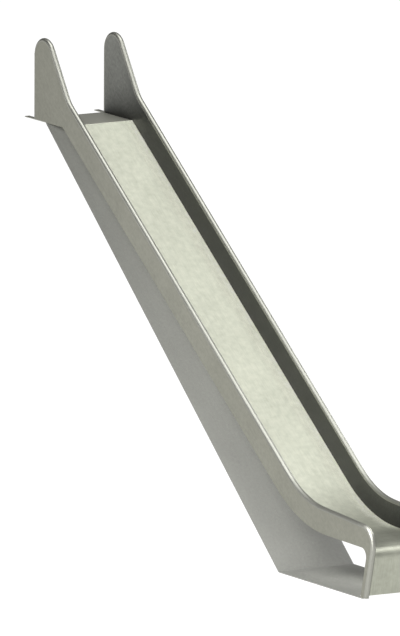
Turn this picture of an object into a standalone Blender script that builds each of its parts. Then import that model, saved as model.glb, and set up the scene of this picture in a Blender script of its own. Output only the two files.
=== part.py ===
"""Embankment slide in stainless steel sheet: a chute between two box cheeks, on a folded base.

Units are metres. X runs down the slide, Z is up and Y = 0 is the plane of symmetry. The origin is the middle of
the ground plate's underside. Runs are horizontal distances from the fold where the base meets the ground.
"""

import math

import bmesh
import bpy
from mathutils import Matrix, Vector

# Clearance between pieces that touch
GAP = 0.0003
# Distance within which two points of a mesh are made one
WELD = 0.00001
# Least angle between two faces that still looks like an edge
SHARP_ANGLE = math.radians(30)
# Straight length between a seam and the bend beside it
LEAD = 0.010
# Most that an arc's chords cut inside it
CHORD_DEPTH = 0.0004
# Degrees between the points of a rim's half circle
ROUND_STEP = 18
# How far a cutter reaches past what it cuts
CUT_MARGIN = 0.1

# Chute
PLATFORM_HEIGHT = 2.500
PLATFORM_FRONT_RUN = -2.809
SLOPE = math.radians(35)
RUNOUT_SLOPE = math.radians(1)
RUNOUT_END_HEIGHT = 0.335
RUNOUT_BEND_RADIUS = 1.125
NOSE_RADIUS = 0.060
NOSE_RECESS = 0.010
FRONT_PLATE_FOOT = 0.022
BED_SHEET = 0.003
PLATFORM_PLATE = 0.006

# Cheeks
OVERALL_WIDTH = 0.556
CHEEK_WIDTH = 0.035
CHEEK_RISE = 0.175
CHEEK_DROP = 0.0055
SKIN = 0.0025
RIM_LIP = 0.0045
EAR_REAR_RUN = -3.199
EAR_REAR_LEAN = math.radians(0.5)
EAR_FRONT_ANGLE = math.radians(55.7)
EAR_TOP_RADIUS = 0.128
EAR_BEND_RUN = -2.740
EAR_BEND_RADIUS = 0.19
BROW_SLOPE = math.radians(3.5)
BROW_END_HEIGHT = 0.479
BROW_BEND_RADIUS = 0.80
LEG_FRONT_RUN = 1.096
LEG_LEAN = math.radians(15)
LEG_DEPTH = 0.058
LEG_CORNER_RADIUS = 0.13
WINDOW_CORNER_RADIUS = 0.055
FOOT_CAP = 0.003

# Base
GROUND_LENGTH = 1.060
NOTCH_RUN = 0.950
BASE_PLATE = 0.005
BASE_TOP_RUN = -3.037
LUG_TAIL_RUN = -3.314

BASE_ANGLE = math.atan2(PLATFORM_HEIGHT - PLATFORM_PLATE, -BASE_TOP_RUN)
LUG_FRONT_RUN = BASE_TOP_RUN - GAP
LEG_FOOT = BASE_PLATE + 2 * GAP + FOOT_CAP
FOLD_X = -GROUND_LENGTH / 2
HALF_WIDTH = OVERALL_WIDTH / 2
INNER_HALF = HALF_WIDTH - CHEEK_WIDTH
RIM_RADIUS = CHEEK_WIDTH / 2
RIM_DEPTH = RIM_RADIUS + RIM_LIP
SIDES = {"left": 1, "right": -1}
SECTIONS = ("ear", "slope", "runout", "leg")

# Colour as linear RGB, metallic, roughness
SATIN_STEEL = ((0.50, 0.50, 0.45), 1.0, 0.38)
SLIDING_STEEL = ((0.66, 0.67, 0.60), 1.0, 0.30)
RIM_STEEL = ((0.72, 0.72, 0.68), 1.0, 0.25)
PLATE_STEEL = ((0.45, 0.46, 0.44), 1.0, 0.42)


def at(run, height):
    """A point of the side view, from its run and its height."""
    return Vector((FOLD_X + run, height))


def heading(angle):
    """Unit vector at an angle above +X."""
    return Vector((math.cos(angle), math.sin(angle)))


def meet(a, towards_a, b, towards_b):
    """Where the line through a crosses the line through b."""
    across = towards_a.x * towards_b.y - towards_a.y * towards_b.x
    between = b - a
    return a + towards_a * ((between.x * towards_b.y - between.y * towards_b.x) / across)


def bend(before, corner, after, radius):
    """Points of the arc that rounds a corner, from tangent point to tangent point."""
    inward = (before - corner).normalized()
    outward = (after - corner).normalized()
    turn = math.pi - inward.angle(outward)
    reach = radius * math.tan(turn / 2)
    start = corner + inward * reach
    centre = corner + (inward + outward).normalized() * (radius / math.cos(turn / 2))
    count = math.ceil(turn / (2 * math.acos(1 - CHORD_DEPTH / radius)))
    spoke = start - centre
    side = 1 if inward.x * outward.y - inward.y * outward.x < 0 else -1
    return [centre + Matrix.Rotation(side * turn * i / count, 2) @ spoke for i in range(count + 1)]


def left_normal(direction):
    """The direction turned a quarter to the left."""
    return Vector((-direction.y, direction.x))


def parallel(path, distance):
    """The path moved sideways, to the left of its travel, with mitred corners."""
    moved = []
    for i, point in enumerate(path):
        before = path[max(i - 1, 0)]
        after = path[min(i + 1, len(path) - 1)]
        first = left_normal((point - before).normalized()) if i else None
        second = left_normal((after - point).normalized()) if i < len(path) - 1 else None
        first = first or second
        second = second or first
        middle = (first + second).normalized()
        moved.append(point + middle * (distance / middle.dot(first)))
    return moved


def trimmed(path, start=GAP / 2, stop=GAP / 2):
    """The path with its two end points drawn in along it."""
    first = path[0] + (path[1] - path[0]).normalized() * start
    last = path[-1] + (path[-2] - path[-1]).normalized() * stop
    return [first] + path[1:-1] + [last]


def levelled(path, height):
    """The path with its last point moved along it to a height."""
    return path[:-1] + [meet(path[-1], path[-1] - path[-2], Vector((0, height)), heading(0))]


def strip(path, distance):
    """Closed outline between a path and its parallel."""
    return path + parallel(path, distance)[::-1]


def steel(name, look):
    """A metal from its colour, metallic value and roughness."""
    colour, metallic, roughness = look
    material = bpy.data.materials.new(name)
    material.use_nodes = True
    shader = material.node_tree.nodes["Principled BSDF"]
    shader.inputs["Base Color"].default_value = (*colour, 1)
    shader.inputs["Metallic"].default_value = metallic
    shader.inputs["Roughness"].default_value = roughness
    material.diffuse_color = (*colour, 1)
    return material


def add_spline(curve, points, cyclic):
    """A straight-sided spline through side-view points."""
    spline = curve.splines.new("POLY")
    spline.points.add(len(points) - 1)
    for target, point in zip(spline.points, points):
        target.co = (point.x, point.y, 0, 1)
    spline.use_cyclic_u = cyclic


def stand_up(obj, middle):
    """Turns a flat curve upright, so that its Y is up, and centres it on Y = middle."""
    obj.rotation_euler = (math.radians(90), 0, 0)
    obj.location = (0, middle, 0)


def as_mesh(obj):
    """The same object with its curve made a closed mesh, smooth but for its real edges."""
    bpy.context.view_layer.update()
    graph = bpy.context.evaluated_depsgraph_get()
    mesh = bpy.data.meshes.new_from_object(obj.evaluated_get(graph))
    welded = bmesh.new()
    welded.from_mesh(mesh)
    bmesh.ops.remove_doubles(welded, verts=welded.verts, dist=WELD)
    welded.to_mesh(mesh)
    welded.free()
    mesh.shade_smooth()
    mesh.set_sharp_from_angle(angle=SHARP_ANGLE)
    name = obj.name
    matrix = obj.matrix_world.copy()
    bpy.data.objects.remove(obj, do_unlink=True)
    made = bpy.data.objects.new(name, mesh)
    made.matrix_world = matrix
    PARTS.objects.link(made)
    return made


def flat(name, outline, thickness, look):
    """A flat outline with a thickness, as a curve that isn't placed yet."""
    curve = bpy.data.curves.new(name, "CURVE")
    curve.dimensions = "2D"
    curve.fill_mode = "BOTH"
    curve.extrude = thickness / 2
    add_spline(curve, outline, True)
    curve.materials.append(steel(name, look))
    obj = bpy.data.objects.new(name, curve)
    PARTS.objects.link(obj)
    return obj


def plate(name, outline, low, high, look):
    """An outline of the side view, as thick as the way across the slide from low to high."""
    obj = flat(name, outline, abs(high - low), look)
    stand_up(obj, (low + high) / 2)
    return as_mesh(obj)


def slab(name, outline, low, high, look):
    """An outline of the plan view, as thick as the way up from low to high."""
    obj = flat(name, outline, high - low, look)
    obj.location = (0, 0, (low + high) / 2)
    return as_mesh(obj)


def half_circle():
    """Points of a rim's round side about its centre, from below through +X to above."""
    return [heading(math.radians(a)) * RIM_RADIUS for a in range(-90, 91, ROUND_STEP)]


def bullnose_profile():
    """Helper curve: the rim's section, half a round channel with two short lips, its crown at the origin."""
    outer = half_circle()
    inner = [point * ((RIM_RADIUS - SKIN) / RIM_RADIUS) for point in outer[::-1]]
    lip = Vector((-RIM_LIP, 0))
    section = [outer[0] + lip] + outer + [outer[-1] + lip, inner[0] + lip] + inner + [inner[-1] + lip]
    curve = bpy.data.curves.new("bullnose_profile", "CURVE")
    curve.dimensions = "2D"
    add_spline(curve, [Vector((RIM_RADIUS - point.x, point.y)) for point in section], True)
    obj = bpy.data.objects.new("bullnose_profile", curve)
    obj.hide_render = True
    obj.display_type = "WIRE"
    GUIDES.objects.link(obj)
    return obj


def rim(name, path, middle):
    """The bullnose section swept along the free edge of a cheek."""
    curve = bpy.data.curves.new(name, "CURVE")
    curve.dimensions = "2D"
    curve.bevel_mode = "OBJECT"
    curve.bevel_object = PROFILE
    curve.use_fill_caps = True
    add_spline(curve, trimmed(path), False)
    curve.materials.append(steel(name, RIM_STEEL))
    obj = bpy.data.objects.new(name, curve)
    stand_up(obj, middle)
    PARTS.objects.link(obj)
    return as_mesh(obj)


def cutter_block(name, start_run, stop_run, half, low, high):
    """Helper block between two runs and two heights, that reaches half its width to each side."""
    bpy.ops.mesh.primitive_cube_add(size=1)
    obj = bpy.context.active_object
    obj.name = name
    obj.location = ((at(start_run, 0).x + at(stop_run, 0).x) / 2, 0, (low + high) / 2)
    obj.scale = (stop_run - start_run, 2 * half, high - low)
    obj.hide_render = True
    obj.display_type = "WIRE"
    for holder in list(obj.users_collection):
        holder.objects.unlink(obj)
    GUIDES.objects.link(obj)
    return obj


def floor_cutter():
    """Helper block that holds everything below the legs' lower ends."""
    rear = LEG_FRONT_RUN - CUT_MARGIN
    front = LEG_FRONT_RUN + CUT_MARGIN
    return cutter_block("floor_cutter", rear, front, HALF_WIDTH + CUT_MARGIN, -CUT_MARGIN, LEG_FOOT)


def notch_cutter():
    """Helper block that holds what the ground plate leaves open between the legs."""
    front = GROUND_LENGTH + CUT_MARGIN
    return cutter_block("notch_cutter", NOTCH_RUN, front, INNER_HALF, -CUT_MARGIN, CUT_MARGIN)


def cut_away(obj, cutter):
    """Cuts a helper block out of an object."""
    cut = obj.modifiers.new(cutter.name, "BOOLEAN")
    cut.operation = "DIFFERENCE"
    cut.object = cutter


def chute_paths():
    """Top face of the chute, in sections from the platform's rear to the front plate's foot."""
    rear = at(EAR_REAR_RUN, PLATFORM_HEIGHT)
    front = at(PLATFORM_FRONT_RUN, PLATFORM_HEIGHT)
    end = at(LEG_FRONT_RUN, RUNOUT_END_HEIGHT)
    fall = heading(-RUNOUT_SLOPE)
    toe = meet(front, heading(-SLOPE), end, fall)
    upright = heading(math.pi / 2 - LEG_LEAN)
    face = at(LEG_FRONT_RUN - NOSE_RECESS / math.cos(LEG_LEAN), 0)
    nose = meet(end, fall, face, upright)
    foot = meet(face, upright, at(0, FRONT_PLATE_FOOT), heading(0))
    lower_bend = bend(front, toe, nose, RUNOUT_BEND_RADIUS)
    roll = bend(toe, nose, foot, NOSE_RADIUS)
    bed_end = lower_bend[0] - heading(-SLOPE) * LEAD
    runout_end = roll[0] - fall * LEAD
    nose_end = roll[-1] - upright * LEAD
    return {
        "platform": [rear, front],
        "bed": [front, bed_end],
        "runout": [bed_end] + lower_bend + [runout_end],
        "nose": [runout_end] + roll + [nose_end],
        "front": [nose_end, foot],
    }


def build_chute(paths):
    """The plates between the cheeks, on which a person sits and slides."""
    reach = INNER_HALF - GAP
    platform = strip(trimmed(paths["platform"], 0), -PLATFORM_PLATE)
    plate("platform_plate", platform, -reach, reach, PLATE_STEEL)
    bed = strip(paths["bed"], -BED_SHEET)
    along = heading(-SLOPE)
    edge = paths["bed"][0] + Vector((GAP, 0))
    bed[0] = meet(edge, heading(math.pi / 2), bed[0], along)
    bed[-1] = meet(edge, heading(math.pi / 2), bed[-1], along)
    plate("bed_sheet", bed, -reach, reach, SLIDING_STEEL)
    for name, key in (("runout_sheet", "runout"), ("nose_roll", "nose"), ("front_plate", "front")):
        outline = strip(trimmed(paths[key], GAP, 0), -BED_SHEET)
        plate(name, outline, -reach, reach, SLIDING_STEEL)


def cheek_paths(chute):
    """Free edge and lower edge of a cheek, in sections from the ear to the foot."""
    along = heading(-SLOPE)
    square = heading(math.pi / 2 - SLOPE)
    upright = heading(math.pi / 2 - LEG_LEAN)
    platform_low = chute["platform"][1] - Vector((0, CHEEK_DROP))
    slope_low = chute["bed"][0] - square * CHEEK_DROP
    seam_low = meet(platform_low, heading(0), slope_low, along)
    seam_high = seam_low + square * (CHEEK_DROP + CHEEK_RISE)
    toe_low = parallel(chute["runout"], -CHEEK_DROP)
    toe_high = toe_low[0] + square * (CHEEK_DROP + CHEEK_RISE)

    ear_foot = at(EAR_REAR_RUN, PLATFORM_HEIGHT + GAP)
    ear_bend = meet(at(EAR_BEND_RUN, 0), heading(math.pi / 2), seam_high, along)
    ear_tip = meet(ear_foot, heading(math.pi / 2 - EAR_REAR_LEAN), ear_bend, heading(-EAR_FRONT_ANGLE))
    crown = bend(ear_foot, ear_tip, ear_bend, EAR_TOP_RADIUS)
    throat = bend(ear_tip, ear_bend, toe_high, EAR_BEND_RADIUS)

    leg_front = at(LEG_FRONT_RUN, 0)
    leg_rear = leg_front - Vector((LEG_DEPTH / math.cos(LEG_LEAN), 0))
    foot_front = meet(leg_front, upright, at(0, LEG_FOOT), heading(0))
    foot_rear = meet(leg_rear, upright, at(0, LEG_FOOT), heading(0))
    brow_end = at(LEG_FRONT_RUN, BROW_END_HEIGHT)
    brow_fall = heading(-BROW_SLOPE)
    brow_start = meet(seam_high, along, brow_end, brow_fall)
    brow_tip = meet(brow_end, brow_fall, leg_front, upright)
    brow = bend(toe_high, brow_start, brow_tip, BROW_BEND_RADIUS)
    corner = bend(brow_start, brow_tip, foot_front, LEG_CORNER_RADIUS)
    corner_lead = corner[0] - brow_fall * LEAD
    runout_fall = heading(-RUNOUT_SLOPE)
    armpit = meet(toe_low[-1], runout_fall, leg_rear, upright)
    window = bend(toe_low[-2], armpit, foot_rear, WINDOW_CORNER_RADIUS)
    window_lead = window[0] - runout_fall * LEAD
    return {
        "ear_high": [ear_foot] + crown + throat + [seam_high],
        "ear_low": [at(LUG_FRONT_RUN + GAP, platform_low.y), seam_low],
        "slope_high": [seam_high, toe_high],
        "slope_low": [seam_low, toe_low[0]],
        "runout_high": [toe_high] + brow + [corner_lead],
        "runout_low": toe_low[:-1] + [window_lead],
        "leg_high": [corner_lead] + corner + [foot_front],
        "leg_low": [window_lead] + window + [foot_rear],
    }


def section_outlines(paths):
    """Upper and lower edge of each section of a skin."""
    sections = {}
    for name in SECTIONS:
        high = parallel(trimmed(paths[f"{name}_high"]), -(RIM_DEPTH + GAP))
        low = trimmed(paths[f"{name}_low"])
        if name == "leg":
            high = levelled(high, LEG_FOOT)
            low = levelled(low, LEG_FOOT)
        sections[name] = high + low[::-1]
    # Behind the lug's front end the ear stands on the lug
    step = Vector((paths["ear_low"][0].x, PLATFORM_HEIGHT + GAP))
    sections["ear"].append(step)
    return sections


def build_cheek(side, sign, paths):
    """One cheek: two skins in four sections, closed by a round rim above and a flat strip below."""
    for name, outline in section_outlines(paths).items():
        for layer, face in (("outer", HALF_WIDTH), ("inner", INNER_HALF + SKIN)):
            plate(f"{side}_{name}_{layer}_skin", outline, sign * (face - SKIN), sign * face, SATIN_STEEL)
    inside = INNER_HALF + SKIN + GAP
    outside = HALF_WIDTH - SKIN - GAP
    middle = sign * (INNER_HALF + RIM_RADIUS)
    for name in SECTIONS:
        edge = trimmed(paths[f"{name}_low"])
        back = parallel(edge, SKIN)
        if name == "leg":
            edge = levelled(edge, LEG_FOOT)
            back = levelled(back, LEG_FOOT)
            long_path = levelled(paths["leg_high"], LEG_FOOT - RIM_DEPTH)
            cut_away(rim(f"{side}_leg_rim", long_path, middle), FLOOR_CUTTER)
        else:
            rim(f"{side}_{name}_rim", paths[f"{name}_high"], middle)
        plate(f"{side}_{name}_edge_strip", edge + back[::-1], sign * inside, sign * outside, SATIN_STEEL)


def build_foot(side, sign, paths):
    """The cap that closes a leg's lower end, round in front like the rim."""
    front = paths["leg_high"][-1].x
    rear = paths["leg_low"][-1].x
    middle = sign * (INNER_HALF + RIM_RADIUS)
    centre = Vector((front - RIM_RADIUS, middle))
    nose = [centre + point for point in half_circle()]
    outline = [Vector((rear, nose[0].y))] + nose + [Vector((rear, nose[-1].y))]
    low = BASE_PLATE + GAP
    slab(f"{side}_foot_cap", outline, low, low + FOOT_CAP, PLATE_STEEL)


def build_base(side_signs):
    """The folded base that lies on the slope and the ground, and the lugs behind the ears."""
    top = PLATFORM_HEIGHT - PLATFORM_PLATE
    upper = at(BASE_TOP_RUN, top)
    path = [upper, at(0, 0), at(GROUND_LENGTH, 0)]
    lifted = parallel(path, BASE_PLATE)
    cut = at(0, top - GAP)
    uphill = heading(math.pi - BASE_ANGLE)
    crest = [meet(end, uphill, cut, heading(0)) for end in (path[0], lifted[0])]
    slope_outline = [crest[0], path[1] + uphill * GAP, lifted[1] + uphill * GAP, crest[1]]
    plate("base_slope_plate", slope_outline, -HALF_WIDTH, HALF_WIDTH, PLATE_STEEL)
    ground_outline = [path[1], path[2], lifted[2], lifted[1]]
    cut_away(plate("ground_plate", ground_outline, -HALF_WIDTH, HALF_WIDTH, PLATE_STEEL), NOTCH_CUTTER)
    tail = at(LUG_TAIL_RUN, PLATFORM_HEIGHT)
    end = at(LUG_FRONT_RUN, PLATFORM_HEIGHT)
    for side, sign in side_signs.items():
        outline = strip([tail, end], -PLATFORM_PLATE)
        plate(f"{side}_fixing_lug", outline, sign * INNER_HALF, sign * HALF_WIDTH, PLATE_STEEL)


def clear_scene():
    """Removes the objects that a new scene starts with."""
    for obj in list(bpy.data.objects):
        bpy.data.objects.remove(obj, do_unlink=True)


def collection(name):
    """A new collection in the scene."""
    made = bpy.data.collections.new(name)
    bpy.context.scene.collection.children.link(made)
    return made


clear_scene()
PARTS = collection("embankment_slide")
GUIDES = collection("guides")
PROFILE = bullnose_profile()
FLOOR_CUTTER = floor_cutter()
NOTCH_CUTTER = notch_cutter()
CHUTE = chute_paths()
CHEEK = cheek_paths(CHUTE)
build_chute(CHUTE)
for side_name, side_sign in SIDES.items():
    build_cheek(side_name, side_sign, CHEEK)
    build_foot(side_name, side_sign, CHEEK)
build_base(SIDES)
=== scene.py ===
"""Looks of the embankment slide: stainless steel sheet, brushed, ground and pickled, in a pale studio.

Units are metres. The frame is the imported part's own: X runs down the slide, Z is up and Y = 0 is the plane of
symmetry. A side-view point is an (x, z) pair, and a run is the horizontal distance from the fold of the base.
Pattern sizes in the finishes are real millimetres.
"""

from __future__ import annotations

import logging
import math
from contextlib import contextmanager
from dataclasses import dataclass
from enum import Enum
from typing import Any, Iterator, Sequence

import bmesh
import bpy
from mathutils import Matrix, Vector

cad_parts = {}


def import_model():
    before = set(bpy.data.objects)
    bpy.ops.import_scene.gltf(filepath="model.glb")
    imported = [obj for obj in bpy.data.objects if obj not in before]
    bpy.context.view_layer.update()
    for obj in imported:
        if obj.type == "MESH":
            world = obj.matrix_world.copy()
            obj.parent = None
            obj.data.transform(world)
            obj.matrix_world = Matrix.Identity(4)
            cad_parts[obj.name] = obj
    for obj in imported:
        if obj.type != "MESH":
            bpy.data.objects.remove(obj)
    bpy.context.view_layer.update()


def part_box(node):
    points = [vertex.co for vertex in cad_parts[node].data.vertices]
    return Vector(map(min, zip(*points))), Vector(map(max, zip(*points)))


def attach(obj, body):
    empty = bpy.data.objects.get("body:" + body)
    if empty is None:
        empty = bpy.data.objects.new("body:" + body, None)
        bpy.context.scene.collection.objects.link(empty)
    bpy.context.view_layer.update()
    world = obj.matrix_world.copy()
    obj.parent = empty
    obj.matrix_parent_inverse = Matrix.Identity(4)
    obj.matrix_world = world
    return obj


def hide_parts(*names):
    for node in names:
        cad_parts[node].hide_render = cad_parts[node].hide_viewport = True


log = logging.getLogger("slide")

Material = bpy.types.Material
Mesh = bpy.types.Mesh
Object = bpy.types.Object
Tree = bpy.types.NodeTree
# Where a link starts: a socket, or a node that stands for its first output
Source = bpy.types.Node | bpy.types.NodeSocket
# Pairs of an X and the share there, in rising order of X
Stops = tuple[tuple[float, float], ...]

MM = 0.001
BODY = "root"
UP = Vector((0, 0, 1))
SLOPE_ANGLE = math.radians(35)
# Most that an arc's chords cut inside it
CHORD_DEPTH = 0.00004
# Longest straight stretch of a swept mesh
LONGEST_STEP = 0.06
# Least angle between two faces that still looks like an edge
SHARP_ANGLE = math.radians(30)
# Faces across a softened edge, and how round they are together
EDGE_SEGMENTS = 2
EDGE_ROUNDNESS = 0.5
# Names of the attributes that hold a point's place along and across a swept sheet, in metres
ALONG = "along"
ACROSS = "across"


def linear(code: str) -> tuple[float, float, float, float]:
    """Turns an sRGB hex colour into linear light.

    Args:
        code: Six hex digits, such as "d8dacb".

    Returns:
        Linear red, green and blue, and an alpha of 1.
    """
    shares = [int(code[i : i + 2], 16) / 255 for i in (0, 2, 4)]
    light = [c / 12.92 if c <= 0.04045 else ((c + 0.055) / 1.055) ** 2.4 for c in shares]
    return light[0], light[1], light[2], 1.0


def add_node(
    tree: Tree,
    kind: str,
    settings: dict[str | int, Any] | None = None,
    links: dict[str | int, Source] | None = None,
) -> bpy.types.Node:
    """Adds one node with its settings and links.

    Args:
        tree: Shader or Geometry Nodes tree that takes the node.
        kind: Blender's name of the node's type.
        settings: Values by property name, or by the name or number of an input.
        links: Sources by the name or number of the input that they feed.

    Returns:
        The new node.
    """
    node = tree.nodes.new(kind)
    for name, value in (settings or {}).items():
        if isinstance(name, int) or name in node.inputs:
            node.inputs[name].default_value = value
        else:
            setattr(node, name, value)
    for name, source in (links or {}).items():
        start = source.outputs[0] if isinstance(source, bpy.types.Node) else source
        tree.links.new(start, node.inputs[name])
    return node

def emptied(owner: Material | bpy.types.World) -> Tree:
    """Gives a material or a world an empty tree.

    Args:
        owner: The material or the world.

    Returns:
        Its tree.
    """
    owner.use_nodes = True
    owner.node_tree.nodes.clear()
    return owner.node_tree
def heading(angle: float) -> Vector:
    """Returns the unit vector at an angle above +X in the side view."""
    return Vector((math.cos(angle), math.sin(angle)))


def left_of(direction: Vector) -> Vector:
    """Returns a side-view direction turned a quarter to the left."""
    return Vector((-direction.y, direction.x))


def meet(a: Vector, towards_a: Vector, b: Vector, towards_b: Vector) -> Vector:
    """Finds where the line through one point crosses the line through another.

    Args:
        a: A point of the first line.
        towards_a: Direction of the first line.
        b: A point of the second line.
        towards_b: Direction of the second line.

    Returns:
        The crossing point.
    """
    across = towards_a.x * towards_b.y - towards_a.y * towards_b.x
    between = b - a
    return a + towards_a * ((between.x * towards_b.y - between.y * towards_b.x) / across)


def rounded(before: Vector, corner: Vector, after: Vector, radius: float) -> list[Vector]:
    """Rounds a corner of a side-view line.

    Args:
        before: A point of the line before the corner.
        corner: The sharp corner.
        after: A point of the line after the corner.
        radius: Radius of the arc.

    Returns:
        Points of the arc, from tangent point to tangent point.
    """
    inward = (before - corner).normalized()
    outward = (after - corner).normalized()
    turn = math.pi - inward.angle(outward)
    start = corner + inward * radius * math.tan(turn / 2)
    centre = corner + (inward + outward).normalized() * (radius / math.cos(turn / 2))
    count = math.ceil(turn / (2 * math.acos(1 - CHORD_DEPTH / radius)))
    side = 1 if inward.x * outward.y - inward.y * outward.x < 0 else -1
    spoke = start - centre
    return [centre + Matrix.Rotation(side * turn * i / count, 2) @ spoke for i in range(count + 1)]


def beside(path: Sequence[Vector], distance: float) -> list[Vector]:
    """Moves a side-view line sideways, with mitred corners.

    Args:
        path: Points of the line.
        distance: How far it moves, to the left of its travel.

    Returns:
        Points of the moved line, as many as before.
    """
    moved = []
    for i, point in enumerate(path):
        first = left_of((point - path[i - 1]).normalized()) if i else None
        second = left_of((path[i + 1] - point).normalized()) if i < len(path) - 1 else None
        first = first or second
        second = second or first
        middle = (first + second).normalized()
        moved.append(point + middle * (distance / middle.dot(first)))
    return moved


def ended_at(path: Sequence[Vector], height: float) -> list[Vector]:
    """Returns a side-view line with its last point moved along it to a height."""
    ahead = path[-1] - path[-2]
    return [*path[:-1], meet(path[-1], ahead, Vector((0, height)), heading(0))]


def divided(path: Sequence[Vector]) -> list[Vector]:
    """Adds points to a side-view line where its stretches are longer than a step.

    Args:
        path: Points of the line.

    Returns:
        Points of the same line, none further apart than the step.
    """
    points = [path[0]]
    for start, end in zip(path, path[1:]):
        count = max(1, math.ceil((end - start).length / LONGEST_STEP))
        points += [start.lerp(end, (i + 1) / count) for i in range(count)]
    return points


class Side(Enum):
    """The two cheeks, as the person who slides down has them, with the sign of their Y."""

    LEFT = 1
    RIGHT = -1

    @property
    def label(self) -> str:
        """Returns the side's plain name, as the CAD nodes have it."""
        return self.name.lower()


@dataclass(frozen=True)
class SlideSizes:
    """Driving sizes of the slide, in metres. Those that the frame shows are read from it."""

    fold_x: float
    half_width: float
    ground_length: float
    platform_height: float
    platform_plate: float
    base_top_run: float
    lug_front_run: float
    lug_tail_run: float
    leg_foot: float
    platform_front_run: float = -2.809
    slope: float = SLOPE_ANGLE
    runout_slope: float = math.radians(1)
    runout_end_height: float = 0.335
    runout_bend_radius: float = 1.125
    nose_radius: float = 0.060
    nose_recess: float = 0.010
    front_plate_foot: float = 0.022
    bed_sheet: float = 0.003
    cheek_width: float = 0.035
    cheek_rise: float = 0.175
    cheek_drop: float = 0.0055
    skin: float = 0.0025
    rim_lip: float = 0.0045
    ear_rear_run: float = -3.199
    ear_rear_lean: float = math.radians(0.5)
    ear_front_angle: float = math.radians(55.7)
    ear_top_radius: float = 0.128
    ear_bend_run: float = -2.740
    ear_bend_radius: float = 0.19
    brow_slope: float = math.radians(3.5)
    brow_end_height: float = 0.479
    brow_bend_radius: float = 0.80
    leg_front_run: float = 1.096
    leg_lean: float = math.radians(15)
    leg_depth: float = 0.058
    leg_corner_radius: float = 0.13
    window_corner_radius: float = 0.055
    notch_run: float = 0.950
    base_plate: float = 0.005
    fold_radius: float = 0.012

    @classmethod
    def from_frame(cls) -> SlideSizes:
        """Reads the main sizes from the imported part.

        Returns:
            All sizes of the slide.
        """
        ground_low, ground_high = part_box("ground_plate")
        platform_low, platform_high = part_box("platform_plate")
        lug_low, lug_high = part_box("right_fixing_lug")
        slope_low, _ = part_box("base_slope_plate")
        _, cap_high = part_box("right_foot_cap")
        fold_x = ground_low.x
        return cls(
            fold_x=fold_x,
            half_width=ground_high.y,
            ground_length=ground_high.x - fold_x,
            platform_height=platform_high.z,
            platform_plate=platform_high.z - platform_low.z,
            base_top_run=slope_low.x - fold_x,
            lug_front_run=lug_high.x - fold_x,
            lug_tail_run=lug_low.x - fold_x,
            leg_foot=cap_high.z,
        )

    @property
    def inner_half(self) -> float:
        """Returns half the width between the cheeks."""
        return self.half_width - self.cheek_width

    @property
    def rim_radius(self) -> float:
        """Returns the radius of the rims, which are as wide as a cheek."""
        return self.cheek_width / 2

    @property
    def rim_depth(self) -> float:
        """Returns how far a rim reaches into its cheek from the crown."""
        return self.rim_radius + self.rim_lip


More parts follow.
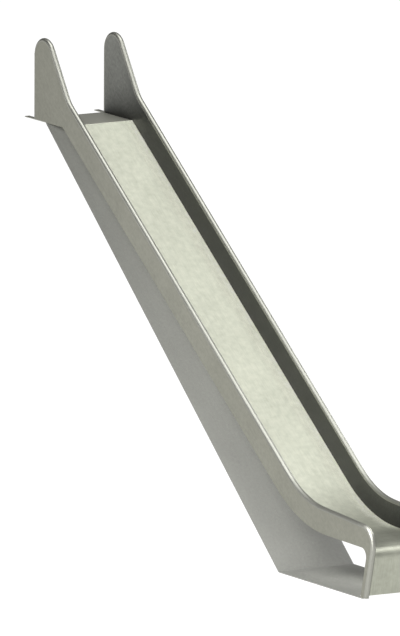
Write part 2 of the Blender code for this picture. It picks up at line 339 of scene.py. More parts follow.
class SideView:
    """The lines of the slide's side view, worked out from its driving sizes."""

    def __init__(self, sizes: SlideSizes) -> None:
        """Works out the lines.

        Args:
            sizes: Driving sizes of the slide.
        """
        self.sizes = sizes
        self.along = heading(-sizes.slope)
        self.square = heading(math.pi / 2 - sizes.slope)
        self.upright = heading(math.pi / 2 - sizes.leg_lean)
        self.fall = heading(-sizes.runout_slope)
        self.sliding_face = self._sliding_face()
        self.free_edge = self._free_edge()
        self.low_edge = self._low_edge()
        self.base_face = self._base_face()

    def at(self, run: float, height: float) -> Vector:
        """Returns the side-view point at a run and a height."""
        return Vector((self.sizes.fold_x + run, height))

    def _chute_corners(self) -> tuple[Vector, Vector, Vector, Vector]:
        """Finds the corners of the sliding sheet's face, as if its bends were sharp.

        Returns:
            Its top, the toe of the slope, the nose and the foot.
        """
        s = self.sizes
        top = self.at(s.platform_front_run, s.platform_height)
        end = self.at(s.leg_front_run, s.runout_end_height)
        face = self.at(s.leg_front_run - s.nose_recess / math.cos(s.leg_lean), 0)
        toe = meet(top, self.along, end, self.fall)
        nose = meet(end, self.fall, face, self.upright)
        foot = meet(face, self.upright, self.at(0, s.front_plate_foot), heading(0))
        return top, toe, nose, foot

    def _sliding_face(self) -> list[Vector]:
        """Draws the face of the sliding sheet.

        Returns:
            Points from the platform's front to the front plate's foot.
        """
        top, toe, nose, foot = self._chute_corners()
        bend = rounded(top, toe, nose, self.sizes.runout_bend_radius)
        return [top, *bend, *rounded(toe, nose, foot, self.sizes.nose_radius), foot]

    def _free_edge(self) -> list[Vector]:
        """Draws the crown of a cheek's rim.

        Returns:
            Points from the ear's rear foot over the ear and down to the leg's foot.
        """
        s = self.sizes
        top, _, _, _ = self._chute_corners()
        crest = top + self.square * s.cheek_rise
        rear = self.at(s.ear_rear_run, s.platform_height)
        throat = meet(self.at(s.ear_bend_run, 0), heading(math.pi / 2), crest, self.along)
        lean = heading(math.pi / 2 - s.ear_rear_lean)
        tip = meet(rear, lean, throat, heading(-s.ear_front_angle))
        front = self.at(s.leg_front_run, 0)
        foot = meet(front, self.upright, self.at(0, s.leg_foot), heading(0))
        brow_end = self.at(s.leg_front_run, s.brow_end_height)
        brow_fall = heading(-s.brow_slope)
        knee = meet(crest, self.along, brow_end, brow_fall)
        brow_tip = meet(brow_end, brow_fall, front, self.upright)
        crown = rounded(rear, tip, throat, s.ear_top_radius)
        neck = rounded(tip, throat, knee, s.ear_bend_radius)
        brow = rounded(throat, knee, brow_tip, s.brow_bend_radius)
        corner = rounded(knee, brow_tip, foot, s.leg_corner_radius)
        return [rear, *crown, *neck, *brow, *corner, foot]

    def _low_edge(self) -> list[Vector]:
        """Draws the lower edge of a cheek.

        Returns:
            Points from the lug's front end to the leg's rear foot.
        """
        s = self.sizes
        top, toe, nose, _ = self._chute_corners()
        line = beside([top, *rounded(top, toe, nose, s.runout_bend_radius), nose], -s.cheek_drop)
        start = self.at(s.lug_front_run, s.platform_height - s.cheek_drop)
        knee = meet(start, heading(0), line[0], self.along)
        rear = self.at(s.leg_front_run - s.leg_depth / math.cos(s.leg_lean), 0)
        foot = meet(rear, self.upright, self.at(0, s.leg_foot), heading(0))
        armpit = meet(line[-1], self.fall, rear, self.upright)
        window = rounded(line[-2], armpit, foot, s.window_corner_radius)
        return [start, knee, *line[1:-1], *window, foot]

    def _base_face(self) -> list[Vector]:
        """Draws the upper face of the folded base.

        Returns:
            Points from a little above its top end to its front end.
        """
        s = self.sizes
        crest = self.at(s.base_top_run, s.platform_height - s.platform_plate)
        under = [crest, self.at(0, 0), self.at(s.ground_length, 0)]
        face = beside(under, s.base_plate)
        uphill = (face[0] - face[1]).normalized()
        start = face[0] + uphill * 2 * s.base_plate
        return [start, *rounded(start, face[1], face[2], s.fold_radius), face[2]]


def start_tree(name: str, values: dict[str, str]) -> tuple[Tree, bpy.types.NodeOutputs]:
    """Starts a Geometry Nodes tree that takes a geometry and named values.

    Args:
        name: Name of the tree.
        values: Kinds of the values, by their names.

    Returns:
        The tree, and the outputs of its input node.
    """
    tree = bpy.data.node_groups.new(name, "GeometryNodeTree")
    for label, kind in {"Geometry": "Geometry", **values}.items():
        tree.interface.new_socket(label, in_out="INPUT", socket_type=f"NodeSocket{kind}")
    tree.interface.new_socket("Geometry", in_out="OUTPUT", socket_type="NodeSocketGeometry")
    return tree, add_node(tree, "NodeGroupInput").outputs


def end_tree(tree: Tree, geometry: Source, material: Source) -> None:
    """Ends a Geometry Nodes tree with real geometry in its material.

    Args:
        tree: The tree.
        geometry: What the tree has made.
        material: The material of all of it.
    """
    real = add_node(tree, "GeometryNodeRealizeInstances", links={"Geometry": geometry})
    dressed = add_node(tree, "GeometryNodeSetMaterial", links={"Geometry": real, "Material": material})
    add_node(tree, "NodeGroupOutput", links={0: dressed})


class Section(Enum):
    """Shapes that are swept along a path: half a round channel with lips, or a flat strip."""

    BULLNOSE = "bullnose"
    FLAT = "flat"


class SweepTree:
    """Geometry Nodes tree that sweeps a section along a drawn path and notes each point's place on it."""

    # Points that a bullnose starts from, numbered from 0, and the number halfway between them
    BULLNOSE_POINTS = 4
    HALFWAY = 1.5

    def __init__(self, section: Section) -> None:
        """Builds the tree.

        Args:
            section: Shape that the tree sweeps.
        """
        values = {"Half Width": "Float", "Lip": "Float", "Corner Points": "Int", "Material": "Material"}
        self.group, self.given = start_tree(f"sweep_{section.value}", values)
        self._sweep(self._bullnose() if section is Section.BULLNOSE else self._flat())

    def run(
        self,
        line: Sequence[Vector],
        y: float,
        half_width: float,
        material: Material,
        outside: Vector = UP,
        points: int = 0,
        lip: float = 0.0,
    ) -> Mesh:
        """Sweeps the section along a side-view line.

        Args:
            line: Points of the line.
            y: Distance of the section's middle from the plane of symmetry.
            half_width: Half the section's width.
            material: Finish of the sheet.
            outside: Way that the first face has to look.
            points: Points on a rounded corner, or between the ends of a flat section.
            lip: Length of the straight lips of a bullnose.

        Returns:
            An open sheet with its face outwards.
        """
        values = {"Half Width": half_width, "Lip": lip, "Corner Points": points, "Material": material}
        mesh = run_tree(drawn_path(divided(line), y), self.group, values)
        if mesh.polygons[0].normal.dot(outside) < 0:
            mesh.flip_normals()
        return mesh

    def _bullnose(self) -> Source:
        """Draws the section of a rim: four points, of which the middle two are rounded into half a circle.

        Returns:
            Source of the section's curve.
        """
        tree = self.group
        half = self.given["Half Width"]
        line = add_node(tree, "GeometryNodeCurvePrimitiveLine")
        count = {"Count": self.BULLNOSE_POINTS}
        points = add_node(tree, "GeometryNodeResampleCurve", count, {"Curve": line})
        index = add_node(tree, "GeometryNodeInputIndex")
        ahead = add_node(tree, "ShaderNodeMath", {"operation": "SUBTRACT", 1: self.HALFWAY}, {0: index})
        side = add_node(tree, "ShaderNodeMath", {"operation": "SIGN"}, {0: ahead})
        away = add_node(tree, "ShaderNodeMath", {"operation": "ABSOLUTE"}, {0: ahead})
        outer = add_node(tree, "ShaderNodeMath", {"operation": "GREATER_THAN", 1: 1}, {0: away})
        depth = add_node(tree, "ShaderNodeMath", {"operation": "ADD"}, {0: half, 1: self.given["Lip"]})
        down = add_node(tree, "ShaderNodeMath", {"operation": "MULTIPLY", 1: -1}, {0: depth})
        x = add_node(tree, "ShaderNodeMath", {"operation": "MULTIPLY"}, {0: half, 1: side})
        y = add_node(tree, "ShaderNodeMath", {"operation": "MULTIPLY"}, {0: down, 1: outer})
        place = add_node(tree, "ShaderNodeCombineXYZ", links={"X": x, "Y": y})
        links = {"Geometry": points, "Position": place}
        placed = add_node(tree, "GeometryNodeSetPosition", links=links)
        links = {"Curve": placed, "Radius": half, "Count": self.given["Corner Points"]}
        settings = {"mode": "POLY", "Limit Radius": True}
        return add_node(tree, "GeometryNodeFilletCurve", settings, links)

    def _flat(self) -> Source:
        """Draws a straight section across the path, with points between its two ends.

        Returns:
            Source of the section's curve.
        """
        tree = self.group
        half = self.given["Half Width"]
        back = add_node(tree, "ShaderNodeMath", {"operation": "MULTIPLY", 1: -1}, {0: half})
        left = add_node(tree, "ShaderNodeCombineXYZ", links={"X": back})
        right = add_node(tree, "ShaderNodeCombineXYZ", links={"X": half})
        ends = {"Start": left, "End": right}
        line = add_node(tree, "GeometryNodeCurvePrimitiveLine", links=ends)
        more = {"operation": "ADD", 1: len(ends)}
        count = add_node(tree, "ShaderNodeMath", more, {0: self.given["Corner Points"]})
        return add_node(tree, "GeometryNodeResampleCurve", links={"Curve": line, "Count": count})

    def _sweep(self, outline: Source) -> None:
        """Sweeps the section along the path, stores each point's distances and dresses the result.

        Args:
            outline: Source of the section's curve.
        """
        tree = self.group
        settings = {"mode": "FREE", "Normal": (0.0, 1.0, 0.0)}
        path = add_node(tree, "GeometryNodeSetCurveNormal", settings, {"Curve": self.given["Geometry"]})
        noted = {}
        for name, curve in ((ALONG, path), (ACROSS, outline)):
            distance = add_node(tree, "GeometryNodeSplineParameter").outputs["Length"]
            noted[name] = add_node(tree, "GeometryNodeCaptureAttribute", links={"Geometry": curve})
            noted[name].capture_items.new("FLOAT", name)
            tree.links.new(distance, noted[name].inputs[name])
        links = {"Curve": noted[ALONG], "Profile Curve": noted[ACROSS]}
        swept = add_node(tree, "GeometryNodeCurveToMesh", links=links)
        for name, capture in noted.items():
            settings = {"data_type": "FLOAT", "domain": "POINT", "Name": name}
            links = {"Geometry": swept, "Value": capture.outputs[name]}
            swept = add_node(tree, "GeometryNodeStoreNamedAttribute", settings, links)
        end_tree(tree, swept, self.given["Material"])


class WeldTree:
    """Geometry Nodes tree that lays stitch welds along a path: rows of small overlapping ripples."""

    SEED = 7
    SMALLEST = (0.85, 0.85, 0.85)
    LARGEST = (1.1, 1.1, 1.1)
    SUBDIVISIONS = 2

    def __init__(self) -> None:
        """Builds the tree."""
        kinds = dict.fromkeys(("Ripple Step", "Stitch Length", "Stitch Pitch", "Bead Radius"), "Float")
        tree, given = start_tree("stitch_welds", {**kinds, "Seed": "Int", "Material": "Material"})
        distance = add_node(tree, "GeometryNodeSplineParameter").outputs["Length"]
        links = {"Curve": given["Geometry"], "Length": given["Ripple Step"]}
        even = add_node(tree, "GeometryNodeResampleCurve", {"mode": "LENGTH"}, links)
        links = {0: distance, 1: given["Stitch Pitch"]}
        phase = add_node(tree, "ShaderNodeMath", {"operation": "MODULO"}, links)
        links = {0: phase, 1: given["Stitch Length"]}
        inside = add_node(tree, "FunctionNodeCompare", {"operation": "LESS_THAN"}, links)
        settings = {"Subdivisions": self.SUBDIVISIONS}
        links = {"Radius": given["Bead Radius"]}
        ripple = add_node(tree, "GeometryNodeMeshIcoSphere", settings, links)
        settings = {"data_type": "FLOAT_VECTOR", "Min": self.SMALLEST, "Max": self.LARGEST}
        uneven = add_node(tree, "FunctionNodeRandomValue", settings, {"Seed": given["Seed"]})
        links = {"Points": even, "Selection": inside, "Instance": ripple, "Scale": uneven}
        laid = add_node(tree, "GeometryNodeInstanceOnPoints", links=links)
        end_tree(tree, laid, given["Material"])
        self.group = tree


class PatternSpace(Enum):
    """What a finish's pattern follows: the part's own frame, level or along the slope, or a swept sheet."""

    LEVEL = "level"
    SLOPE = "slope"
    SHEET = "sheet"


@dataclass(frozen=True)
class SteelFinish:
    """A stainless steel surface: how its colour, mottle, grain, gloss and relief vary.

    Every *_mm field is a real size. The grain is drawn about ten times coarser than the real grit marks,
    which are far too fine to show. Openness is 1 on an open face, and less the more there is within reach.
    The painted corner shading is painted shade that darkens sheltered places, or painted light that lightens
    them to even out the shade of the soft boxes.
    """

    name: str
    light: str
    dark: str
    roughness: float
    space: PatternSpace = PatternSpace.LEVEL
    metallic: float = 1.0
    mottle_mm: float = 22.0
    cloud_mm: float = 450.0
    cloud_share: float = 0.4
    grain_length_mm: float = 160.0
    grain_width_mm: float = 3.0
    grain_share: float = 0.35
    # Finer layers in the mottle, and in the clouds and the grain, and how strong each is
    mottle_layers: float = 5.0
    other_layers: float = 2.0
    layer_strength: float = 0.55
    # Pattern values at which the colour is all dark and all light
    dark_at: float = 0.3
    light_at: float = 0.7
    roughness_swing: float = 0.06
    relief_mm: float = 0.05
    # Factor on the colour in sheltered corners: below 1 it is painted shade, above 1 it is painted light
    corner_tone: float = 0.8
    corner_reach_mm: float = 30.0
    # Openness at which the painted corner shading is full, and at which there is none
    corner_full: float = 0.35
    corner_none: float = 0.85
    corner_rays: int = 8
    # Stops along X for how much of the painted corner shading is used
    corner_along: Stops = ()
    # Stops along X of a factor on the colour: painted light and shade along the slide
    tone_along: Stops = ()

    def build(self) -> Material:
        """Makes the material.

        Returns:
            A material that reads Object coordinates, or the swept sheet's own attributes.
        """
        material = bpy.data.materials.new(self.name)
        tree = emptied(material)
        pattern = self._pattern(tree)
        dull = self.roughness + self.roughness_swing
        bright = self.roughness - self.roughness_swing
        gloss = {"To Min": dull, "To Max": bright}
        rough = add_node(tree, "ShaderNodeMapRange", gloss, {"Value": pattern})
        height = {"Strength": 1.0, "Distance": self.relief_mm * MM}
        relief = add_node(tree, "ShaderNodeBump", height, {"Height": pattern})
        links = {"Base Color": self._colour(tree, pattern), "Roughness": rough, "Normal": relief}
        shader = add_node(tree, "ShaderNodeBsdfPrincipled", {"Metallic": self.metallic}, links)
        add_node(tree, "ShaderNodeOutputMaterial", links={"Surface": shader})
        return material

    def _pattern(self, tree: Tree) -> Source:
        """Lays mottle, clouds and grain over each other.

        Args:
            tree: The material's tree.

        Returns:
            Source of a value near 0.5.
        """
        place = self._place(tree)
        mottle = self._noise(tree, place, (self.mottle_mm,) * 3, self.mottle_layers)
        clouds = self._noise(tree, place, (self.cloud_mm,) * 3, self.other_layers)
        grain_sizes = (self.grain_length_mm, self.grain_width_mm, self.grain_width_mm)
        grain = self._noise(tree, place, grain_sizes, self.other_layers)
        share = {"data_type": "FLOAT", 0: self.cloud_share}
        uneven = add_node(tree, "ShaderNodeMix", share, {2: mottle, 3: clouds})
        share = {"data_type": "FLOAT", 0: self.grain_share}
        return add_node(tree, "ShaderNodeMix", share, {2: uneven, 3: grain})

    def _place(self, tree: Tree) -> Source:
        """Finds the pattern's coordinates in metres, with X along the grain.

        Args:
            tree: The material's tree.

        Returns:
            Source of the coordinates.
        """
        if self.space is PatternSpace.SHEET:
            along = add_node(tree, "ShaderNodeAttribute", {"attribute_name": ALONG}).outputs["Fac"]
            across = add_node(tree, "ShaderNodeAttribute", {"attribute_name": ACROSS}).outputs["Fac"]
            return add_node(tree, "ShaderNodeCombineXYZ", links={"X": along, "Y": across})
        point = add_node(tree, "ShaderNodeTexCoord").outputs["Object"]
        turn = (0.0, -SLOPE_ANGLE if self.space is PatternSpace.SLOPE else 0.0, 0.0)
        return add_node(tree, "ShaderNodeMapping", {"Rotation": turn}, {"Vector": point})

    def _noise(
        self, tree: Tree, place: Source, sizes_mm: tuple[float, float, float], detail: float
    ) -> Source:
        """Adds a noise whose blotches have a real size.

        Args:
            tree: The material's tree.
            place: Coordinates in metres.
            sizes_mm: Size of a blotch along each axis.
            detail: How many finer layers are added.

        Returns:
            Source of a value near 0.5.
        """
        scale = tuple(1 / (size * MM) for size in sizes_mm)
        sized = add_node(tree, "ShaderNodeMapping", {"Scale": scale}, {"Vector": place})
        layers = {"Scale": 1.0, "Detail": detail, "Roughness": self.layer_strength}
        return add_node(tree, "ShaderNodeTexNoise", layers, {"Vector": sized}).outputs["Fac"]

    def _colour(self, tree: Tree, pattern: Source) -> Source:
        """Colours the pattern, then scales it with painted light and shade along the slide and painted shading
        in sheltered corners.

        Args:
            tree: The material's tree.
            pattern: The value that goes from dark to light.

        Returns:
            Source of the colour.
        """
        ramp = add_node(tree, "ShaderNodeValToRGB", links={"Fac": pattern})
        ends = ((self.dark_at, self.dark), (self.light_at, self.light))
        for element, (position, code) in zip(ramp.color_ramp.elements, ends):
            element.position = position
            element.color = linear(code)
        colour = ramp
        # Painted light and shade along the slide
        if self.tone_along:
            links = {"Vector": ramp, "Scale": self._by_x(tree, self.tone_along)}
            colour = add_node(tree, "ShaderNodeVectorMath", {"operation": "SCALE"}, links)
        # Painted corner shading: ambient occlusion darkens or lightens the colour where other pieces shelter it
        reach = {"samples": self.corner_rays, "Distance": self.corner_reach_mm * MM}
        openness = add_node(tree, "ShaderNodeAmbientOcclusion", reach).outputs["AO"]
        limits = {
            "From Min": self.corner_full,
            "From Max": self.corner_none,
            "To Min": self.corner_tone - 1,
            "To Max": 0.0,
        }
        links = {0: add_node(tree, "ShaderNodeMapRange", limits, {"Value": openness})}
        if self.corner_along:
            links[1] = self._by_x(tree, self.corner_along)
        factor = add_node(tree, "ShaderNodeMath", {"operation": "MULTIPLY_ADD", 1: 1.0, 2: 1.0}, links)
        links = {"Vector": colour, "Scale": factor}
        return add_node(tree, "ShaderNodeVectorMath", {"operation": "SCALE"}, links)

    def _by_x(self, tree: Tree, stops: Stops) -> Source:
        """Finds a share that changes along the slide.

        Args:
            tree: The material's tree.
            stops: Where the share has which value.

        Returns:
            Source of the share.
        """
        point = add_node(tree, "ShaderNodeTexCoord").outputs["Object"]
        x = add_node(tree, "ShaderNodeSeparateXYZ", links={"Vector": point}).outputs["X"]
        first, last = stops[0][0], stops[-1][0]
        place = add_node(tree, "ShaderNodeMapRange", {"From Min": first, "From Max": last}, {"Value": x})
        ramp = add_node(tree, "ShaderNodeValToRGB", links={"Fac": place})
        elements = ramp.color_ramp.elements
        while len(elements) < len(stops):
            elements.new(1.0)
        for element, (stop, share) in zip(elements, stops):
            element.position = (stop - first) / (last - first)
            element.color = (share, share, share, 1.0)
        return ramp


@dataclass(frozen=True)
class FloorFinish:
    """Matt white studio board, rolled smooth: it shows only a very faint unevenness."""

    name: str = "white_studio_board"
    light: str = "60605f"
    dark: str = "5b5b5a"
    roughness: float = 0.9
    glow: float = 0.93
    patch_mm: float = 900.0

    def build(self) -> Material:
        """Makes the material.

        Returns:
            A matt material with a glow of its own.
        """
        material = bpy.data.materials.new(self.name)
        tree = emptied(material)
        point = add_node(tree, "ShaderNodeTexCoord").outputs["Object"]
        noise = add_node(tree, "ShaderNodeTexNoise", {"Scale": 1 / (self.patch_mm * MM)}, {"Vector": point})
        ramp = add_node(tree, "ShaderNodeValToRGB", links={"Fac": noise.outputs["Fac"]})
        ramp.color_ramp.elements[0].color = linear(self.dark)
        ramp.color_ramp.elements[1].color = linear(self.light)
        settings = {
            "Roughness": self.roughness,
            "Specular IOR Level": 0.0,
            "Emission Color": linear("ffffff"),
            "Emission Strength": self.glow,
        }
        shader = add_node(tree, "ShaderNodeBsdfPrincipled", settings, {"Base Color": ramp})
        add_node(tree, "ShaderNodeOutputMaterial", links={"Surface": shader})
        return material


@dataclass(frozen=True)
class Finishes:
    """The materials of the slide, one for each way its steel was finished, most with painted light and shade in
    their colours.
    """

    satin: Material
    inner: Material
    rim: Material
    sliding: Material
    deck: Material
    plate: Material
    base: Material
    weld: Material

    @classmethod
    def make(cls) -> Finishes:
        """Builds every material.

        Returns:
            All of them together.
        """
        slope, sheet = PatternSpace.SLOPE, PatternSpace.SHEET
        # Cold-rolled sheet of grade 304, brushed satin down the slope: soft grey with a faint yellow cast
        # Painted light makes it a little lighter towards the foot of the slope, and painted shade darkens its
        # corners
        tones = ((-3.8, 0.92), (-2.2, 0.93), (-0.6, 1.0))
        satin = SteelFinish("satin_brushed_steel", "838378", "6d6d63", 0.42, slope, 0.8, tone_along=tones)
        # The cheeks' inner sheets, left as rolled: duller, and darkened by painted shade on the slope and the
        # run-out, most towards the bed, but not on the ears
        inner = SteelFinish(
            "mill_rolled_steel",
            "868781",
            "535450",
            0.5,
            slope,
            0.9,
            roughness_swing=-0.04,
            corner_tone=0.12,
            corner_reach_mm=400.0,
            corner_full=0.5,
            corner_none=0.9,
            tone_along=((-3.45, 1.0), (-3.15, 0.33), (-0.4, 0.31), (-0.05, 0.7)),
        )
        # The same brushing on the rolled rims, where the grain follows the rim: lighter than the sheets.
        # Painted shade dims them down the slope, and a painted highlight lightens them on the legs
        tones = ((-2.8, 0.84), (-0.6, 0.72), (0.45, 0.74), (0.56, 0.95))
        rim = SteelFinish("satin_rolled_rim_steel", "a0a098", "93948c", 0.45, sheet, tone_along=tones)
        # Finely ground sheet, polished further by use: light, with a cloudy mottle. Painted light lightens it
        # in the corners beside the rims on the slope, and painted shade darkens the run-out and the front plate
        sliding = SteelFinish(
            "ground_sliding_steel",
            "c6c8b9",
            "a0a295",
            0.5,
            sheet,
            mottle_mm=45.0,
            roughness_swing=0.03,
            corner_tone=2.3,
            corner_reach_mm=170.0,
            corner_full=0.5,
            corner_none=0.72,
            corner_along=((0.0, 1.0), (0.3, 0.0)),
            tone_along=((-3.2, 0.96), (-0.15, 0.96), (0.0, 0.95), (0.2, 0.58), (0.44, 0.6), (0.54, 0.85)),
        )
        # Rolled plate of the platform: even light grey, painted lighter than the plain plate of the lugs
        # because the level deck gets little light
        deck = SteelFinish("rolled_deck_steel", "c6c6bb", "b7b7ac", 0.4, metallic=0.9)
        # Plain rolled plate of the lugs and foot caps: even grey, a little duller
        plain = SteelFinish("rolled_plate_steel", "9c9c93", "909087", 0.4, metallic=0.9)
        # Pickled plate of the base: matt neutral grey, with painted shade that darkens it towards the top and
        # painted light that lightens it where the slide above shades it
        shade = ((-1.1, 1.0), (-0.62, 2.0), (-0.5, 3.6), (-0.42, 4.8), (-0.1, 4.5), (0.1, 2.5), (0.3, 1.0))
        tones = ((-3.15, 0.46), (-1.9, 0.53), (-0.62, 0.62), (-0.48, 0.54), (-0.03, 0.6), (0.35, 0.57))
        base = SteelFinish(
            "pickled_base_steel",
            "888983",
            "777772",
            0.6,
            sheet,
            0.0,
            corner_tone=1.75,
            corner_reach_mm=600.0,
            corner_full=0.3,
            corner_none=0.5,
            corner_along=shade,
            tone_along=tones,
        )
        # Pickled weld metal: rough, slightly darker
        weld = SteelFinish("pickled_weld_steel", "8a8a80", "6c6c64", 0.55, mottle_mm=4.0)
        finishes = (satin, inner, rim, sliding, deck, plain, base, weld)
        return cls(*(finish.build() for finish in finishes))


def plain_mesh(obj: Object) -> Mesh:
    """Makes data of its own from what an object and its modifiers show.

    Args:
        obj: The object.

    Returns:
        The plain mesh.
    """
    bpy.context.view_layer.update()
    graph = bpy.context.evaluated_depsgraph_get()
    return bpy.data.meshes.new_from_object(
        obj.evaluated_get(graph), preserve_all_data_layers=True, depsgraph=graph
    )


def add_object(name: str, data: bpy.types.ID) -> Object:
    """Adds an object to the scene, at the origin.

    Args:
        name: Its name.
        data: Its data.

    Returns:
        The new object.
    """
    obj = bpy.data.objects.new(name, data)
    bpy.context.scene.collection.objects.link(obj)
    return obj


def drawn_path(points: Sequence[Vector], y: float) -> Object:
    """Draws a side-view line in space.

    Args:
        points: Side-view points.
        y: Distance from the plane of symmetry.

    Returns:
        A curve object of one straight-sided spline.
    """
    curve = bpy.data.curves.new("path", "CURVE")
    curve.dimensions = "3D"
    spline = curve.splines.new("POLY")
    spline.points.add(len(points) - 1)
    for target, point in zip(spline.points, points):
        target.co = (point.x, y, point.y, 1)
    return add_object("path", curve)


def run_tree(path: Object, group: Tree, values: dict[str, Any]) -> Mesh:
    """Runs a Geometry Nodes tree on a path, and removes the path.

    Args:
        path: Object that carries the tree.
        group: The tree.
        values: Values of the tree's inputs, by name.

    Returns:
        The plain mesh that results.
    """
    modifier = path.modifiers.new(group.name, "NODES")
    modifier.node_group = group
    sockets = {item.name: item.identifier for item in group.interface.items_tree if item.in_out == "INPUT"}
    for name, value in values.items():
        modifier[sockets[name]] = value
    mesh = plain_mesh(path)
    bpy.data.objects.remove(path, do_unlink=True)
    return mesh


@contextmanager
def edited(mesh: Mesh) -> Iterator[bmesh.types.BMesh]:
    """Opens a mesh for editing and writes it back afterwards.

    Args:
        mesh: The mesh.

    Yields:
        The opened mesh.
    """
    work = bmesh.new()
    work.from_mesh(mesh)
    yield work
    work.to_mesh(mesh)
    work.free()


def cut(work: bmesh.types.BMesh, point: Sequence[float], normal: Sequence[float], clear: bool) -> None:
    """Cuts an opened mesh along a plane.

    Args:
        work: The opened mesh.
        point: A point of the plane.
        normal: The plane's normal.
        clear: Whether what lies behind the plane goes.
    """
    everything = [*work.verts, *work.edges, *work.faces]
    bmesh.ops.bisect_plane(work, geom=everything, plane_co=point, plane_no=normal, clear_inner=clear)


def notch(mesh: Mesh, start_x: float, half_width: float) -> None:
    """Cuts a rectangle out of the front end of an open sheet.

    Args:
        mesh: Sheet to cut.
        start_x: X at which the rectangle starts.
        half_width: Half the rectangle's width, about Y = 0.
    """
    with edited(mesh) as work:
        cut(work, (start_x, 0, 0), (1, 0, 0), False)
        for y in (half_width, -half_width):
            cut(work, (0, y, 0), (0, 1, 0), False)
        centres = [(face, face.calc_center_median()) for face in work.faces]
        inside = [face for face, centre in centres if centre.x > start_x and abs(centre.y) < half_width]
        bmesh.ops.delete(work, geom=inside, context="FACES")


def thickened(name: str, mesh: Mesh, thickness: float) -> Object:
    """Gives an open sheet its thickness, behind its face.

    Args:
        name: Name of the piece.
        mesh: Open sheet with its face outwards.
        thickness: Thickness of the sheet.

    Returns:
        The finished piece.
    """
    obj = add_object(name, mesh)
    solid = obj.modifiers.new("thickness", "SOLIDIFY")
    solid.thickness = thickness
    solid.offset = -1
    obj.data = plain_mesh(obj)
    obj.modifiers.clear()
    obj.data.shade_smooth()
    obj.data.set_sharp_from_angle(angle=SHARP_ANGLE)
    obj.data.name = name
    return obj


def plate(
    name: str, outline: Sequence[Vector], low: float, high: float, material: Material, edge: float
) -> Object:
    """Makes a flat plate from its side-view outline.

    Args:
        name: Name of the piece.
        outline: Closed outline in the side view.
        low: The plate's lowest Y.
        high: The plate's highest Y.
        material: Its finish.
        edge: Width of the softened edges.

    Returns:
        The finished piece.
    """
    mesh = bpy.data.meshes.new(name)
    with edited(mesh) as work:
        face = work.faces.new([work.verts.new((p.x, low, p.y)) for p in outline])
        grown = bmesh.ops.extrude_face_region(work, geom=[face])["geom"]
        moved = [item for item in grown if isinstance(item, bmesh.types.BMVert)]
        bmesh.ops.translate(work, verts=moved, vec=(0, high - low, 0))
        bmesh.ops.recalc_face_normals(work, faces=work.faces)
        sharp = [e for e in work.edges if e.calc_face_angle(0) > SHARP_ANGLE]
        bmesh.ops.bevel(
            work, geom=sharp, offset=edge, segments=EDGE_SEGMENTS, profile=EDGE_ROUNDNESS, affect="EDGES"
        )
    mesh.materials.append(material)
    return add_object(name, mesh)


def hand_over(piece: Object, slot: str, *nodes: str) -> None:
    """Ties a finished piece to the frame.

    Args:
        piece: The piece.
        slot: The record's material slot for its finish; not used.
        nodes: CAD nodes that it stands for.
    """
    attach(piece, BODY)
    if nodes:
        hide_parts(*nodes)
    log.info("%s: %d faces, for %s", piece.name, len(piece.data.polygons), ", ".join(nodes) or "no node")


